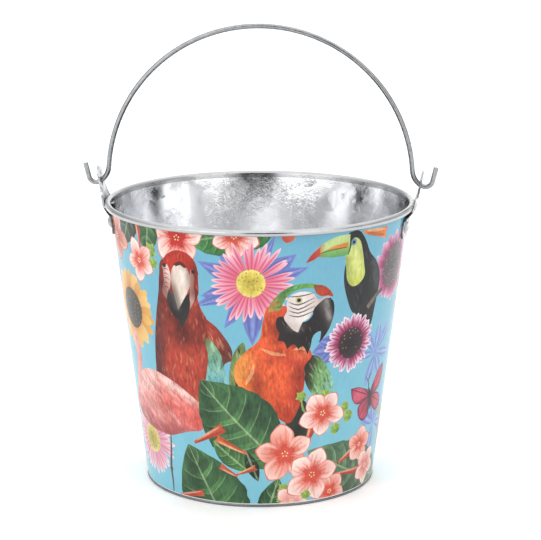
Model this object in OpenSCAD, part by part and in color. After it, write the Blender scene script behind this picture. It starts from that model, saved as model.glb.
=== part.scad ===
// A tapered sheet-metal bucket with a curled rim, a clinched base, two riveted ears and a wire bail.
// Millimetres, +Z up. The origin is the middle of the circle that the bucket stands on, the ears lie
// on the X axis and -Y is the front.

/* [Bucket] */
// Outside diameter over the curled rim
rim_d = 200; // [150:5:260]
// Outside diameter over the foot bead
foot_d = 149; // [120:1:190]
// Height from the ground to the top of the rim
bucket_h = 184; // [130:2:260]
// Thickness of the wall and base sheet
sheet_t = 0.6; // [0.5:0.1:0.8]
// Outside diameter of the rim's curl
curl_d = 4; // [3.5:0.25:6]
// Diameter of the bead that the base is rolled into round the wall's foot
foot_bead_d = 2.4; // [2.2:0.1:3.2]
// How far that bead stands out from the wall
foot_bead_out = 0.6; // [0.4:0.1:0.8]
// How high the floor lies above the ground
floor_h = 5; // [3:0.5:10]

/* [Side seam] */
// Width of the folded seam that closes the wall, inside behind the left ear
seam_w = 6; // [4:0.5:9]
// How far the fold stands inwards
seam_t = 1; // [0.6:0.1:1.6]

/* [Ears] */
// Thickness of the stamped ears
ear_t = 1.2; // [0.8:0.1:1.6]
// Outward lean of an ear above the rim, in degrees
ear_lean = 10.5; // [6:0.5:14]
// Slope of the bend that carries the ear out past the rim, in degrees from the wall's upright
ear_bend = 38; // [30:1:45]
// Height of the bail holes above the top of the rim
hole_above_rim = 10.5; // [9:0.5:16]
// Diameter of the bail holes
hole_d = 6; // [5.5:0.25:7.5]
// Radius of the lobe round a bail hole
top_lobe_r = 8; // [6:0.5:10]
// How far the lobe's centre lies above the hole's
top_lobe_rise = 1.5; // [0:0.5:3]
// Radius of the two lobes round the rivets
rivet_lobe_r = 8; // [6.5:0.5:9]
// Radius of the hollow flanks between the lobes
flank_r = 20; // [18:1:40]

/* [Rivets] */
// Distance across between an ear's two rivets
rivet_pitch = 36; // [28:1:44]
// How far the rivets lie below the ear's bend
rivet_drop = 4; // [4:0.5:10]
// Diameter of the shanks
shank_d = 4; // [3:0.5:5]
// Diameter of the domed heads outside
head_d = 8; // [6:0.5:9]
// Height of the domed heads
head_h = 1.8; // [1:0.2:3]
// Diameter of the tails set inside
tail_d = 7; // [5.5:0.5:8]
// Height of the tails
tail_h = 1.2; // [0.8:0.2:2]

/* [Bail] */
// Diameter of the wire
wire_d = 3.2; // [2.6:0.2:3.2]
// Height of the arch's centre above the bail holes
arch_h = 3; // [0:0.5:6]
// Radius of the bend that turns the wire out through the hole
turn_r = 12; // [11:0.5:16]
// Height of that bend's centre above the holes
turn_h = 10; // [8:0.5:11]
// Angle that the wire has turned by when the hook begins, in degrees from straight down
turn_end = 63; // [58:1:66]
// Radius of the hook under the ear
hook_r = 4.5; // [4:0.25:7]
// Outward lean of the hook's free arm, in degrees
arm_lean = 14; // [5:1:25]
// Length of the hook's free arm
arm_l = 9.5; // [5:0.5:15]

/* [Hidden] */
$fn = 96;
steel = "silver";
print_blue = "#76b6ca";

seat_gap = 0.05;        // between sheets that are clinched or riveted face to face
curl_gap = 0.3;         // between the rim's curl and the ear bent round it
curl_open = 44;         // angle left open between the curl's edge and the wall, below level
foot_flat = 0.1;        // depth of the flat that the foot bead stands on
join_proud = 0.02;      // how much wider than the wire the fillers between its bends are
cut = 1;                // how far a cutting shape runs past what it cuts

// The curl, and the wall's slope: the wall's inner face is tangent to the outside of the curl.
curl_r = curl_d / 2;
curl_c = [rim_d / 2 - curl_r, bucket_h - curl_r];
foot_r = foot_d / 2 - foot_bead_out;
run = curl_c[0] - curl_r + sheet_t - foot_r;
slope = atan(run / curl_c[1]);
sheet_across = sheet_t / cos(slope);
foot_edge = sheet_t;    // height of the wall's lower edge inside the foot bead

// Radii of the wall's faces at a height
function wall_in(z) = curl_c[0] - curl_r / cos(slope) - (curl_c[1] - z) * tan(slope);
function wall_out(z) = wall_in(z) + sheet_across;

// A line in the section plane, [point, angle from upright]: the one that lies at a distance outside
// another, or outside a circle's centre, and the crossing of two lines.
function line_beside(p, a, gap) = [p + gap * [cos(a), -sin(a)], a];
function line_dir(l) = [sin(l[1]), cos(l[1])];
function meet(l, m) =
    let (d = line_dir(l), e = line_dir(m), w = m[0] - l[0])
    l[0] + d * (w[0] * e[1] - w[1] * e[0]) / (d[0] * e[1] - d[1] * e[0]);
function at_height(l, z) = l[0] + line_dir(l) * (z - l[0][1]) / line_dir(l)[1];

// An ear's sheet lies on the wall, bends out round the curl and leans outwards above it. Each of its
// faces is three lines, the same distance outside the wall and the curl.
function on_wall(off) = line_beside([wall_out(0), 0], slope, seat_gap + off);
function round_curl(angle, off) = line_beside(curl_c, angle, curl_r + curl_gap + off);
function ear_bend_at(off) = meet(on_wall(off), round_curl(ear_bend, off));

// Ears: heights, and the middle of the sheet where the hole crosses it
hole_z = bucket_h + hole_above_rim;
rivet_z = ear_bend_at(ear_t)[1] - rivet_drop;
ear_top = hole_z + top_lobe_rise + top_lobe_r;
ear_bottom = rivet_z - rivet_lobe_r;
hole_x = at_height(round_curl(ear_lean, ear_t / 2), hole_z)[0];
ear_span = 20;          // half the angle that an ear's sheet is turned through before it is cut out

// Rivets: their bearing from the ear's middle
rivet_bearing = asin(rivet_pitch / 2 / wall_out(rivet_z));

// Bail, in the X-Z plane: the arch, the outward turn, the hook and its arm follow each other tangent.
// The turn crosses the hole's height in the middle of the ear's sheet, which sets the arch's radius.
turn_x = hole_x + sqrt(pow(turn_r, 2) - pow(turn_h, 2));
arch_r = norm([turn_x, turn_h - arch_h]) - turn_r;
arch_end = atan((turn_h - arch_h) / turn_x);
turn_c = [turn_x, hole_z + turn_h];
hook_from = 180 + turn_end;
hook_to = 360 - arm_lean;
hook_c = turn_c + (turn_r - hook_r) * [cos(hook_from), sin(hook_from)];

// ---- bucket ----

// Half section of the wall: a straight flank that runs into the curl
module wall_section() {
    tangent = [-cos(slope), sin(slope)];
    polygon([
        [wall_in(foot_edge), foot_edge],
        [wall_out(foot_edge), foot_edge],
        curl_c + (curl_r - sheet_t) * tangent,
        curl_c + curl_r * tangent,
    ]);
    difference() {
        translate(curl_c) circle(r = curl_r);
        translate(curl_c) circle(r = curl_r - sheet_t);
        translate(curl_c) curl_opening();
    }
}

// The wedge left open between the curl's edge and the wall
module curl_opening() {
    reach = 2 * curl_r;
    polygon([
        [0, 0],
        reach * [-cos(slope), sin(slope)],
        reach * [-1, 0],
        reach * [-cos(curl_open), -sin(curl_open)],
    ]);
}

module bucket_wall() {
    color(print_blue)
    difference() {
        union() {
            rotate_extrude() wall_section();
            side_seam();
        }
        for (side = [0, 180], bearing = [-rivet_bearing, rivet_bearing])
            at_rivet(side + bearing) rivet_hole();
    }
}

// The flattened fold on the wall's inner face
module side_seam() {
    low = floor_h + sheet_t + seat_gap;
    high = bucket_h - curl_d;
    half = asin(seam_w / 2 / wall_in(high));
    rotate_extrude(angle = 2 * half, start = 180 - half)
        polygon([
            [wall_in(low) - seam_t, low],
            [wall_in(low) + sheet_across / 2, low],
            [wall_in(high) + sheet_across / 2, high],
            [wall_in(high) - seam_t, high],
        ]);
}

// A raised floor, a flange down inside the wall, and the bead rolled round the wall's foot
module base_disc() {
    top = floor_h + sheet_t;
    bead_r = foot_bead_d / 2;
    bead_c = [foot_d / 2 - bead_r, bead_r - foot_flat];
    color(steel)
    rotate_extrude()
    difference() {
        union() {
            translate([0, floor_h]) square([wall_in(floor_h) - sheet_t / 2, sheet_t]);
            polygon([
                [wall_in(bead_c[1]) - seat_gap - sheet_across, bead_c[1]],
                [wall_in(bead_c[1]) - seat_gap, bead_c[1]],
                [wall_in(top) - seat_gap, top],
                [wall_in(top) - seat_gap - sheet_across, top],
            ]);
            translate(bead_c) circle(r = bead_r);
        }
        translate([0, -cut]) square([foot_d, cut]);
        polygon([
            [wall_in(foot_edge) - seat_gap, foot_edge - seat_gap],
            [wall_out(foot_edge) + seat_gap, foot_edge - seat_gap],
            [wall_out(top + cut) + seat_gap, top + cut],
            [wall_in(top + cut) - seat_gap, top + cut],
        ]);
    }
}

// ---- ears ----

// One face of an ear's section, from below its foot to above its top
function ear_face(off) = [
    at_height(on_wall(off), ear_bottom - cut),
    ear_bend_at(off),
    meet(round_curl(ear_bend, off), round_curl(ear_lean, off)),
    at_height(round_curl(ear_lean, off), ear_top + cut),
];

module ear_section() {
    inner = ear_face(0);
    outer = ear_face(ear_t);
    polygon(concat(inner, [for (i = [len(outer) - 1:-1:0]) outer[i]]));
}

// Points along an arc about c, between two angles
function arc(c, r, from, to, n = 12) =
    [for (i = [0:n]) let (a = from + (to - from) * i / n) c + r * [cos(a), sin(a)]];
function bearing_of(v) = atan2(v[1], v[0]);

// Outline seen square on, as [across, height]: three lobes, a straight foot and hollow flanks.
// A flank's centre lies one flank radius outside both of the lobes that it joins.
module ear_outline() {
    low = [rivet_pitch / 2, rivet_z];
    high = [0, hole_z + top_lobe_rise];
    to_high = top_lobe_r + flank_r;
    to_low = rivet_lobe_r + flank_r;
    span = norm(low - high);
    u = (low - high) / span;
    along = (to_high * to_high - to_low * to_low + span * span) / (2 * span);
    flank_c = high + along * u + sqrt(to_high * to_high - along * along) * [-u[1], u[0]];
    high_end = bearing_of(flank_c - high);
    low_end = bearing_of(flank_c - low);
    right_side = concat(
        arc(high, top_lobe_r, 90, high_end),
        arc(flank_c, flank_r, high_end + 180, low_end + 180),
        arc(low, rivet_lobe_r, low_end, -90)
    );
    last = len(right_side) - 1;
    polygon(concat(right_side, [for (i = [last:-1:1]) [-right_side[i][0], right_side[i][1]]]));
}

module ear() {
    color(steel)
    difference() {
        intersection() {
            rotate_extrude(angle = 2 * ear_span, start = -ear_span) ear_section();
            rotate([90, 0, 90]) linear_extrude(rim_d) ear_outline();
        }
        translate([0, 0, hole_z]) rotate([0, 90, 0]) cylinder(d = hole_d, h = rim_d);
        for (bearing = [-rivet_bearing, rivet_bearing]) at_rivet(bearing) rivet_hole();
    }
}

module left_ear() {
    rotate([0, 0, 180]) ear();
}

module right_ear() {
    ear();
}

// ---- rivets ----

// Places children on the wall's outer face at a rivet's bearing, with +Z square out of the wall
module at_rivet(bearing) {
    rotate([0, 0, bearing]) translate([wall_out(rivet_z), 0, rivet_z]) rotate([0, 90 + slope, 0]) children();
}

module rivet_hole() {
    translate([0, 0, -sheet_t - cut]) cylinder(d = shank_d + 2 * seat_gap, h = sheet_t + ear_t + 2 * cut);
}

// A shallow dome standing on the X-Y plane
module dome(d, h) {
    r = (d * d / 4 + h * h) / (2 * h);
    rotate_extrude()
    intersection() {
        translate([0, h - r]) circle(r = r);
        square([d / 2, h]);
    }
}

module rivet(bearing) {
    // the wall is curved, so a flat tail stands clear of it by the curve's depth under the tail
    hollow = pow(tail_d / 2, 2) / (2 * wall_in(rivet_z));
    head_z = ear_t + 2 * seat_gap;
    tail_z = -sheet_t - seat_gap - hollow;
    shank_l = head_z - tail_z + (head_h + tail_h) / 2;
    color(steel)
    at_rivet(bearing) {
        translate([0, 0, tail_z - tail_h / 2]) cylinder(d = shank_d, h = shank_l);
        translate([0, 0, head_z]) dome(head_d, head_h);
        translate([0, 0, tail_z]) mirror([0, 0, 1]) dome(tail_d, tail_h);
    }
}

module right_front_rivet() {
    rivet(-rivet_bearing);
}

module right_rear_rivet() {
    rivet(rivet_bearing);
}

module left_front_rivet() {
    rivet(180 + rivet_bearing);
}

module left_rear_rivet() {
    rivet(180 - rivet_bearing);
}

// ---- bail ----

// A round wire bent about a centre [x, z], between two angles
module wire_bend(centre, r, from, to) {
    translate([centre[0], 0, centre[1]])
        rotate([90, 0, 0])
        rotate_extrude(angle = to - from, start = from)
        translate([r, 0]) circle(d = wire_d);
}

// Fills the meeting of two bends, a hair proud so that they join as one solid
module wire_join(at) {
    translate([at[0], 0, at[1]]) sphere(d = wire_d + join_proud);
}

module hook() {
    turn_start = turn_c + turn_r * [cos(180 + arch_end), sin(180 + arch_end)];
    hook_start = hook_c + hook_r * [cos(hook_from), sin(hook_from)];
    arm_start = hook_c + hook_r * [cos(hook_to), sin(hook_to)];
    wire_bend(turn_c, turn_r, 180 + arch_end, hook_from);
    wire_bend(hook_c, hook_r, hook_from, hook_to);
    translate([arm_start[0], 0, arm_start[1]]) rotate([0, arm_lean, 0]) cylinder(d = wire_d, h = arm_l);
    for (at = [turn_start, hook_start, arm_start]) wire_join(at);
}

module bail() {
    color(steel)
    union() {
        wire_bend([0, hole_z + arch_h], arch_r, arch_end, 180 - arch_end);
        hook();
        mirror([1, 0, 0]) hook();
    }
}

bucket_wall();
base_disc();
left_ear();
right_ear();
left_front_rivet();
left_rear_rivet();
right_front_rivet();
right_rear_rivet();
bail();
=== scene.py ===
"""Looks of a printed galvanised bucket: a lacquered tropical print laid on the tapered wall, bright
spangled zinc inside, and zinc of other finishes on the ears, the rivets and the bail. Lengths are
millimetres unless a name says m or a comment says otherwise."""

import math
import random

import bmesh
import bpy
import numpy as np
from mathutils import Euler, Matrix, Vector, geometry


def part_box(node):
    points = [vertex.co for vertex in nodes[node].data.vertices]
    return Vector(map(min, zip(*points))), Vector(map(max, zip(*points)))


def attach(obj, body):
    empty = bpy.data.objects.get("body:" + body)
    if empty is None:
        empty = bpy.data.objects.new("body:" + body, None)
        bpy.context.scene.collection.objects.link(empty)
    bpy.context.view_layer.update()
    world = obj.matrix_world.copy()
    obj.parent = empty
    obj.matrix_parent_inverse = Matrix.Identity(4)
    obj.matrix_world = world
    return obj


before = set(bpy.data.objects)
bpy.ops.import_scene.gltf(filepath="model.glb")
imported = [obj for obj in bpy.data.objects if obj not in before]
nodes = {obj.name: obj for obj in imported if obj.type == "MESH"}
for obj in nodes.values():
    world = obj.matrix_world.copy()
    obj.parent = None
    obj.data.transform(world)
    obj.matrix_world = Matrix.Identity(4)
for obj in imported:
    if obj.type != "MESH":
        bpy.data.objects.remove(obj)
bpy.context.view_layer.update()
MM = 0.001

# ---- the wall's section, from the frame ----
CURL_D = 4.0            # the rim's curl, as the part has it
SHEET_T = 0.6           # the wall's sheet
wall_low, wall_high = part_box("bucket_wall")
RIM_R = wall_high.x / MM
RIM_Z = wall_high.z / MM
FOOT_EDGE_Z = wall_low.z / MM
EDGE_SLACK = 0.01       # how near the lowest edge a corner counts as on it
FOOT_EDGE_R = max(
    math.hypot(v.co.x, v.co.y) / MM
    for v in nodes["bucket_wall"].data.vertices
    if v.co.z / MM < FOOT_EDGE_Z + EDGE_SLACK
)


def wall_slope():
    """Lean of the outer face, which passes a curl's inner radius inside the curl's centre."""
    across = RIM_R - CURL_D / 2 - FOOT_EDGE_R
    up = RIM_Z - CURL_D / 2 - FOOT_EDGE_Z
    return math.atan2(across, up) - math.asin((CURL_D / 2 - SHEET_T) / math.hypot(across, up))


SLOPE = wall_slope()
FOOT_R = FOOT_EDGE_R - FOOT_EDGE_Z * math.tan(SLOPE)    # outer face at the ground
APEX = FOOT_R / math.sin(SLOPE)         # from the cone's apex to the ground, along the slant


def on_cone(flat, proud):
    """Place of a point of the flat print, this far out from the wall. The flat print is the cone
    unrolled: its origin is the middle of the front's foot, and +Y runs up the slant."""
    reach = math.hypot(flat[0], flat[1] + APEX)
    bearing = math.atan2(flat[0], flat[1] + APEX) / math.sin(SLOPE)
    level = math.cos(SLOPE)
    out = Vector((math.sin(bearing) * level, -math.cos(bearing) * level, -math.sin(SLOPE)))
    r = reach * math.sin(SLOPE)
    return Vector((r * math.sin(bearing), -r * math.cos(bearing), (reach - APEX) * level)) + proud * out


# ---- materials ----

def rgb(hex_colour):
    """The sRGB parts of a hex colour, from 0 to 1."""
    return [int(hex_colour[i:i + 2], 16) / 255 for i in (1, 3, 5)]


def linear(part):
    return part / 12.92 if part <= 0.04045 else ((part + 0.055) / 1.055) ** 2.4


def srgb(hex_colour):
    """Linear colour from an sRGB hex value."""
    return (*(linear(part) for part in rgb(hex_colour)), 1.0)


def material(name):
    made = bpy.data.materials.new(name)
    made.use_nodes = True
    return made, made.node_tree, made.node_tree.nodes["Principled BSDF"]


def add_node(tree, kind, feeds, **settings):
    """Adds a node with its settings. Each feed, another node's output or a plain value, goes into the
    input of that name or number."""
    node = tree.nodes.new(kind)
    for name, value in settings.items():
        setattr(node, name, value)
    for name, feed in feeds.items():
        if isinstance(feed, bpy.types.NodeSocket):
            tree.links.new(feed, node.inputs[name])
        else:
            node.inputs[name].default_value = feed
    return node


def use_material(piece, made):
    piece.data.materials.clear()
    piece.data.materials.append(made)


def round_the_wall(tree):
    """Distance round the bucket and height, in metres, so that a pattern follows the rolled sheet.
    The join of the turn lies on the side seam."""
    place = add_node(tree, "ShaderNodeTexCoord", {}).outputs["Object"]
    parts = add_node(tree, "ShaderNodeSeparateXYZ", {"Vector": place}).outputs
    turn = add_node(tree, "ShaderNodeMath", {0: parts["Y"], 1: parts["X"]}, operation="ARCTAN2")
    arc = add_node(tree, "ShaderNodeMath", {0: turn.outputs[0], 1: (FOOT_R + RIM_R) / 2 * MM},
                   operation="MULTIPLY")
    return add_node(tree, "ShaderNodeCombineXYZ", {"X": arc.outputs[0], "Y": parts["Z"]}).outputs[0]


SHEARED_BELOW = 0.5     # a face of an ear is its cut edge where its normal has less than this along X


def painted_shade_edge(tree, edge):
    """1 on an edge of a piece that gets painted shade and more roughness, and 0 elsewhere."""
    lie = add_node(tree, "ShaderNodeTexCoord", {}).outputs
    parts = add_node(tree, "ShaderNodeSeparateXYZ", {"Vector": lie["Object"]}).outputs
    curl_z = (RIM_Z - CURL_D) * MM
    # The curl: painted shade.
    if edge == "curl":
        return add_node(tree, "ShaderNodeMath", {0: parts["Z"], 1: curl_z},
                        operation="GREATER_THAN").outputs[0]
    # An ear's cut edges below the rim: painted shadow.
    if edge == "sheared":
        facing = add_node(tree, "ShaderNodeSeparateXYZ", {"Vector": lie["Normal"]}).outputs["X"]
        across = add_node(tree, "ShaderNodeMath", {0: facing}, operation="ABSOLUTE").outputs[0]
        cut = add_node(tree, "ShaderNodeMath", {0: across, 1: SHEARED_BELOW}, operation="LESS_THAN")
        low = add_node(tree, "ShaderNodeMath", {0: parts["Z"], 1: curl_z}, operation="LESS_THAN")
        return add_node(tree, "ShaderNodeMath", {0: cut.outputs[0], 1: low.outputs[0]},
                        operation="MULTIPLY").outputs[0]
    # The bead beyond the foot's radius: painted shade.
    level = add_node(tree, "ShaderNodeVectorMath", {0: lie["Object"], 1: (1.0, 1.0, 0.0)},
                     operation="MULTIPLY")
    away = add_node(tree, "ShaderNodeVectorMath", {0: level.outputs[0]}, operation="LENGTH").outputs["Value"]
    return add_node(tree, "ShaderNodeMath", {0: away, 1: FOOT_R * MM}, operation="GREATER_THAN").outputs[0]


FERNS_PER_MM = 1.3      # ridges side by side
FERN_SLIM = 0.16        # a ridge's width over its length
FERN_EDGES = (0.42, 0.68)       # of the noise, at a ridge's foot and its crest
FERN_HEIGHT_MM = 0.1
FERN_BUMP = 0.4
FERN_GLINT = 0.5        # of the crystals' own range of brightness
FERN_DULLS = 0.10       # roughness that a ridge adds
EDGE_DULLS = 0.05       # roughness added where an edge gets painted shade
PATCHES_PER_CRYSTAL = 2.4       # patches whose ridges run one way, along a crystal
STRETCHES_PER_CRYSTAL = 0.3     # stretches that show their ridges or hide them
STRETCH_EDGES = (0.44, 0.6)     # of the noise, where a stretch starts and ends hiding them
HIDDEN_SHOWS = 0.08     # how much of the ridges still shows where they are hidden


def drifted(tree, flat, per_m):
    """The places of a pattern, bent by up to half a crystal so that the crystals' edges wander."""
    drift = add_node(tree, "ShaderNodeTexNoise", {"Vector": flat, "Scale": per_m, "Detail": 4.0})
    shift = add_node(tree, "ShaderNodeVectorMath", {0: drift.outputs["Color"], 1: (0.5, 0.5, 0.5)},
                     operation="SUBTRACT")
    return add_node(tree, "ShaderNodeVectorMath", {0: shift.outputs[0], 1: (1 / per_m,) * 3, 2: flat},
                    operation="MULTIPLY_ADD").outputs[0]


def fern_ridges(tree, flat, bent, per_m):
    """Height of the fern-like ridges, from 0 to 1: short strokes that turn from one patch to the next."""
    patches = add_node(tree, "ShaderNodeTexVoronoi", {"Vector": bent, "Scale": PATCHES_PER_CRYSTAL * per_m})
    ways = add_node(tree, "ShaderNodeSeparateColor", {"Color": patches.outputs["Color"]}).outputs
    angle = add_node(tree, "ShaderNodeMath", {0: ways["Red"], 1: 2 * math.pi}, operation="MULTIPLY")
    aimed = add_node(tree, "ShaderNodeVectorRotate", {"Vector": bent, "Angle": angle.outputs[0]},
                     rotation_type="Z_AXIS")
    drawn = add_node(tree, "ShaderNodeMapping", {"Vector": aimed.outputs[0], "Scale": (FERN_SLIM, 1.0, 1.0)})
    ferns = add_node(tree, "ShaderNodeTexNoise", {
        "Vector": drawn.outputs[0], "Scale": FERNS_PER_MM / MM, "Detail": 3.0})
    ridge = add_node(tree, "ShaderNodeMapRange", {
        "Value": ferns.outputs["Fac"], "From Min": FERN_EDGES[0], "From Max": FERN_EDGES[1]})
    stretches = add_node(tree, "ShaderNodeTexNoise", {
        "Vector": flat, "Scale": STRETCHES_PER_CRYSTAL * per_m, "Detail": 2.0})
    showing = add_node(tree, "ShaderNodeMapRange", {
        "Value": stretches.outputs["Fac"], "From Min": STRETCH_EDGES[0], "From Max": STRETCH_EDGES[1],
        "To Min": HIDDEN_SHOWS})
    return add_node(tree, "ShaderNodeMath", {0: ridge.outputs[0], 1: showing.outputs[0]},
                    operation="MULTIPLY").outputs[0]


def leaned(tree, bump, by, tilt):
    """The bumped normal, leaned by this colour to give each crystal its own tilt."""
    lean = add_node(tree, "ShaderNodeVectorMath", {0: by, 1: (0.5, 0.5, 0.5)}, operation="SUBTRACT")
    added = add_node(tree, "ShaderNodeVectorMath", {0: lean.outputs[0], 1: (tilt,) * 3, 2: bump},
                     operation="MULTIPLY_ADD")
    return add_node(tree, "ShaderNodeVectorMath", {0: added.outputs[0]}, operation="NORMALIZE").outputs[0]


def galvanised(name, cell_mm, tint, bright, rough, tilt, rolled=False, edge=None, edge_light=1.0):
    """Hot-dip galvanised steel: zinc frozen in crystals of this size. Each crystal has its own slight
    tilt, brightness and gloss, so that what the metal mirrors breaks up at its edges, and fern-like
    ridges grow through it. An edge may carry painted shade, and is then rougher too."""
    made, tree, shader = material(name)
    per_m = 1 / (cell_mm * MM)
    flat = round_the_wall(tree) if rolled else add_node(tree, "ShaderNodeTexCoord", {}).outputs["Object"]
    bent = drifted(tree, flat, per_m)
    crystals = add_node(tree, "ShaderNodeTexVoronoi", {"Vector": bent, "Scale": per_m}).outputs["Color"]
    chance = add_node(tree, "ShaderNodeSeparateColor", {"Color": crystals}).outputs
    fern = fern_ridges(tree, flat, bent, per_m)
    lit = add_node(tree, "ShaderNodeMath", {0: chance["Green"], 1: bright, 2: 1 - bright},
                   operation="MULTIPLY_ADD")
    lit = add_node(tree, "ShaderNodeMath", {0: fern, 1: bright * FERN_GLINT, 2: lit.outputs[0]},
                   operation="MULTIPLY_ADD")
    dull = add_node(tree, "ShaderNodeMath", {0: chance["Blue"], 1: rough[1] - rough[0], 2: rough[0]},
                    operation="MULTIPLY_ADD")
    dull = add_node(tree, "ShaderNodeMath", {0: fern, 1: FERN_DULLS, 2: dull.outputs[0]},
                    operation="MULTIPLY_ADD")
    if edge:
        # Painted shade: the edge's colour is darkened by edge_light, and its roughness is raised.
        shaded_edge = painted_shade_edge(tree, edge)
        kept = add_node(tree, "ShaderNodeMath", {0: shaded_edge, 1: edge_light - 1, 2: 1.0},
                        operation="MULTIPLY_ADD")
        lit = add_node(tree, "ShaderNodeMath", {0: lit.outputs[0], 1: kept.outputs[0]}, operation="MULTIPLY")
        dull = add_node(tree, "ShaderNodeMath", {0: shaded_edge, 1: EDGE_DULLS, 2: dull.outputs[0]},
                        operation="MULTIPLY_ADD")
    shade = add_node(tree, "ShaderNodeVectorMath", {0: srgb(tint)[:3], "Scale": lit.outputs[0]},
                     operation="SCALE")
    bump = add_node(tree, "ShaderNodeBump", {
        "Height": fern, "Strength": FERN_BUMP, "Distance": FERN_HEIGHT_MM * MM})
    tree.links.new(shade.outputs[0], shader.inputs["Base Color"])
    tree.links.new(dull.outputs[0], shader.inputs["Roughness"])
    tree.links.new(leaned(tree, bump.outputs[0], crystals, tilt), shader.inputs["Normal"])
    shader.inputs["Metallic"].default_value = 1.0
    return made


LACQUER_PASSES = 0.88   # how much of the inks' own light the lacquer lets back out
MOTTLE_PER_MM = 0.7     # the fine mottle in the inks of feathers and leaves, drawn out up the wall
MOTTLE_DRAWN = 0.35
PATCHES_PER_MM = 0.11   # its broad patches, and their share beside the fine ones
PATCH_SHARE = 0.7
MOTTLE_MIDDLE = 0.85    # the value of both together that leaves an ink as it is
MOTTLE_SWING = 1.5
PEEL_PER_MM = 0.42      # the lacquer's orange peel
PEEL_HEIGHT_MM = 0.2
PEEL_BUMP = 0.08


def printed_lacquer():
    """Offset-printed inks under a clear stoved lacquer: full colour, a deep wet gloss with a faint
    orange peel, and a fine mottle in the inks of feathers and leaves."""
    made, tree, shader = material("printed_lacquer")
    ink_colour = add_node(tree, "ShaderNodeVertexColor", {}, layer_name="print_ink").outputs
    place = add_node(tree, "ShaderNodeTexCoord", {}).outputs["Object"]
    combed = add_node(tree, "ShaderNodeMapping", {"Vector": place, "Scale": (1.0, 1.0, MOTTLE_DRAWN)})
    mottle = add_node(tree, "ShaderNodeTexNoise", {
        "Vector": combed.outputs[0], "Scale": MOTTLE_PER_MM / MM, "Detail": 4.0, "Roughness": 0.6})
    patches = add_node(tree, "ShaderNodeTexNoise", {
        "Vector": place, "Scale": PATCHES_PER_MM / MM, "Detail": 2.0})
    both = add_node(tree, "ShaderNodeMath", {
        0: patches.outputs["Fac"], 1: PATCH_SHARE, 2: mottle.outputs["Fac"]}, operation="MULTIPLY_ADD")
    off = add_node(tree, "ShaderNodeMath", {0: both.outputs[0], 1: MOTTLE_MIDDLE}, operation="SUBTRACT")
    swing = add_node(tree, "ShaderNodeMath", {0: off.outputs[0], 1: ink_colour["Alpha"]},
                     operation="MULTIPLY")
    level = add_node(tree, "ShaderNodeMath", {
        0: swing.outputs[0], 1: MOTTLE_SWING * LACQUER_PASSES, 2: LACQUER_PASSES}, operation="MULTIPLY_ADD")
    shade = add_node(tree, "ShaderNodeVectorMath", {0: ink_colour["Color"], "Scale": level.outputs[0]},
                     operation="SCALE")
    peel = add_node(tree, "ShaderNodeTexNoise", {"Vector": place, "Scale": PEEL_PER_MM / MM, "Detail": 1.0})
    bump = add_node(tree, "ShaderNodeBump", {
        "Height": peel.outputs["Fac"], "Strength": PEEL_BUMP, "Distance": PEEL_HEIGHT_MM * MM})
    tree.links.new(shade.outputs[0], shader.inputs["Base Color"])
    tree.links.new(bump.outputs[0], shader.inputs["Coat Normal"])
    for name, value in (("Roughness", 0.5), ("Specular IOR Level", 0.0), ("Coat Weight", 0.8),
                        ("Coat IOR", 1.45), ("Coat Roughness", 0.07)):
        shader.inputs[name].default_value = value
    return made


# ---- the print, drawn flat ----
# The sheet is printed flat before it is rolled. Shapes lie one over another in the order that they
# are printed, in millimetres on the flat print. A corner of an outline is a point with a third value, 0.
PANEL_HALF = 90.0       # half the bearing that the design covers, in degrees: it repeats twice round
PRINT_LOW = 2.5         # the print's lower and upper edges, up the slant
PRINT_HIGH = 181.0
OUTLINE_STEP = 1.9      # spacing of points along an outline
GRID_STEP = 3.4         # spacing of the points that carry the wall's curve between the outlines
MITRE = 1e-4            # outline points nearer than this are one
STRIPS = 12             # the panel is cut in this many strips, which is quicker
STRIP_SPARE = 5.0       # how far past a strip its outlines are followed, in degrees
FENCE_UP = 45           # pieces of a strip's outline up each side, and along its top and bottom
FENCE_ALONG = 8
ROW_SHARE = 0.87        # of the grid's spacing, between its rows, which makes even triangles
printed = []
sprayed = []


def spot(x, y, turn=0.0, size=1.0):
    """A motif's place on the flat print: its origin, its turn in degrees and its size."""
    c = size * math.cos(math.radians(turn))
    s = size * math.sin(math.radians(turn))
    return lambda p: (x + p[0] * c - p[1] * s, y + p[0] * s + p[1] * c)


SHEET = spot(0, 0)


def smooth(points, closed=True, step=OUTLINE_STEP):
    """A smooth line through a few points."""
    count = len(points)
    line = []
    for i in range(count if closed else count - 1):
        near = range(i - 1, i + 3)
        before, start, end, after = (points[k % count if closed else min(max(k, 0), count - 1)] for k in near)
        pull = [start[2] if len(start) > 2 else 1, end[2] if len(end) > 2 else 1]
        pieces = max(1, round(math.dist(start[:2], end[:2]) / step))
        for k in range(pieces):
            t = k / pieces
            line.append(tuple(
                (2 * t**3 - 3 * t**2 + 1) * start[a]
                + (t**3 - 2 * t**2 + t) * pull[0] * (end[a] - before[a]) / 2
                + (3 * t**2 - 2 * t**3) * end[a]
                + (t**3 - t**2) * pull[1] * (after[a] - start[a]) / 2
                for a in (0, 1)
            ))
    return line if closed else line + [points[-1][:2]]


def ring(x, y, r, count=24):
    turns = [2 * math.pi * i / count for i in range(count)]
    return [(x + r * math.cos(a), y + r * math.sin(a)) for a in turns]


def ink(put, outline, inks, start=(0, 0), end=1.0, grain=0.0, cover=1.0):
    """Prints one closed shape. Its inks run evenly from start to end, or outwards from start where end
    is a radius. Grain is how much the fine mottle of feathers and leaves shows in it, from 0 to 1. A
    cover under 1 is a translucent glaze of its first ink over what lies below."""
    unit = math.dist(put((0, 0)), put((1, 0)))
    goal = end * unit if isinstance(end, float) else put(end)
    printed.append(([put(p) for p in outline], [rgb(i) for i in inks], put(start), goal, grain, cover))


def spray(first, a, b, r, colour, strength):
    """Airbrushes a soft shade from a to b, out to this radius, over the shapes printed from first on."""
    sprayed.append((first, len(printed), np.array(a, float), np.array(b, float), r, rgb(colour), strength))


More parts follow.
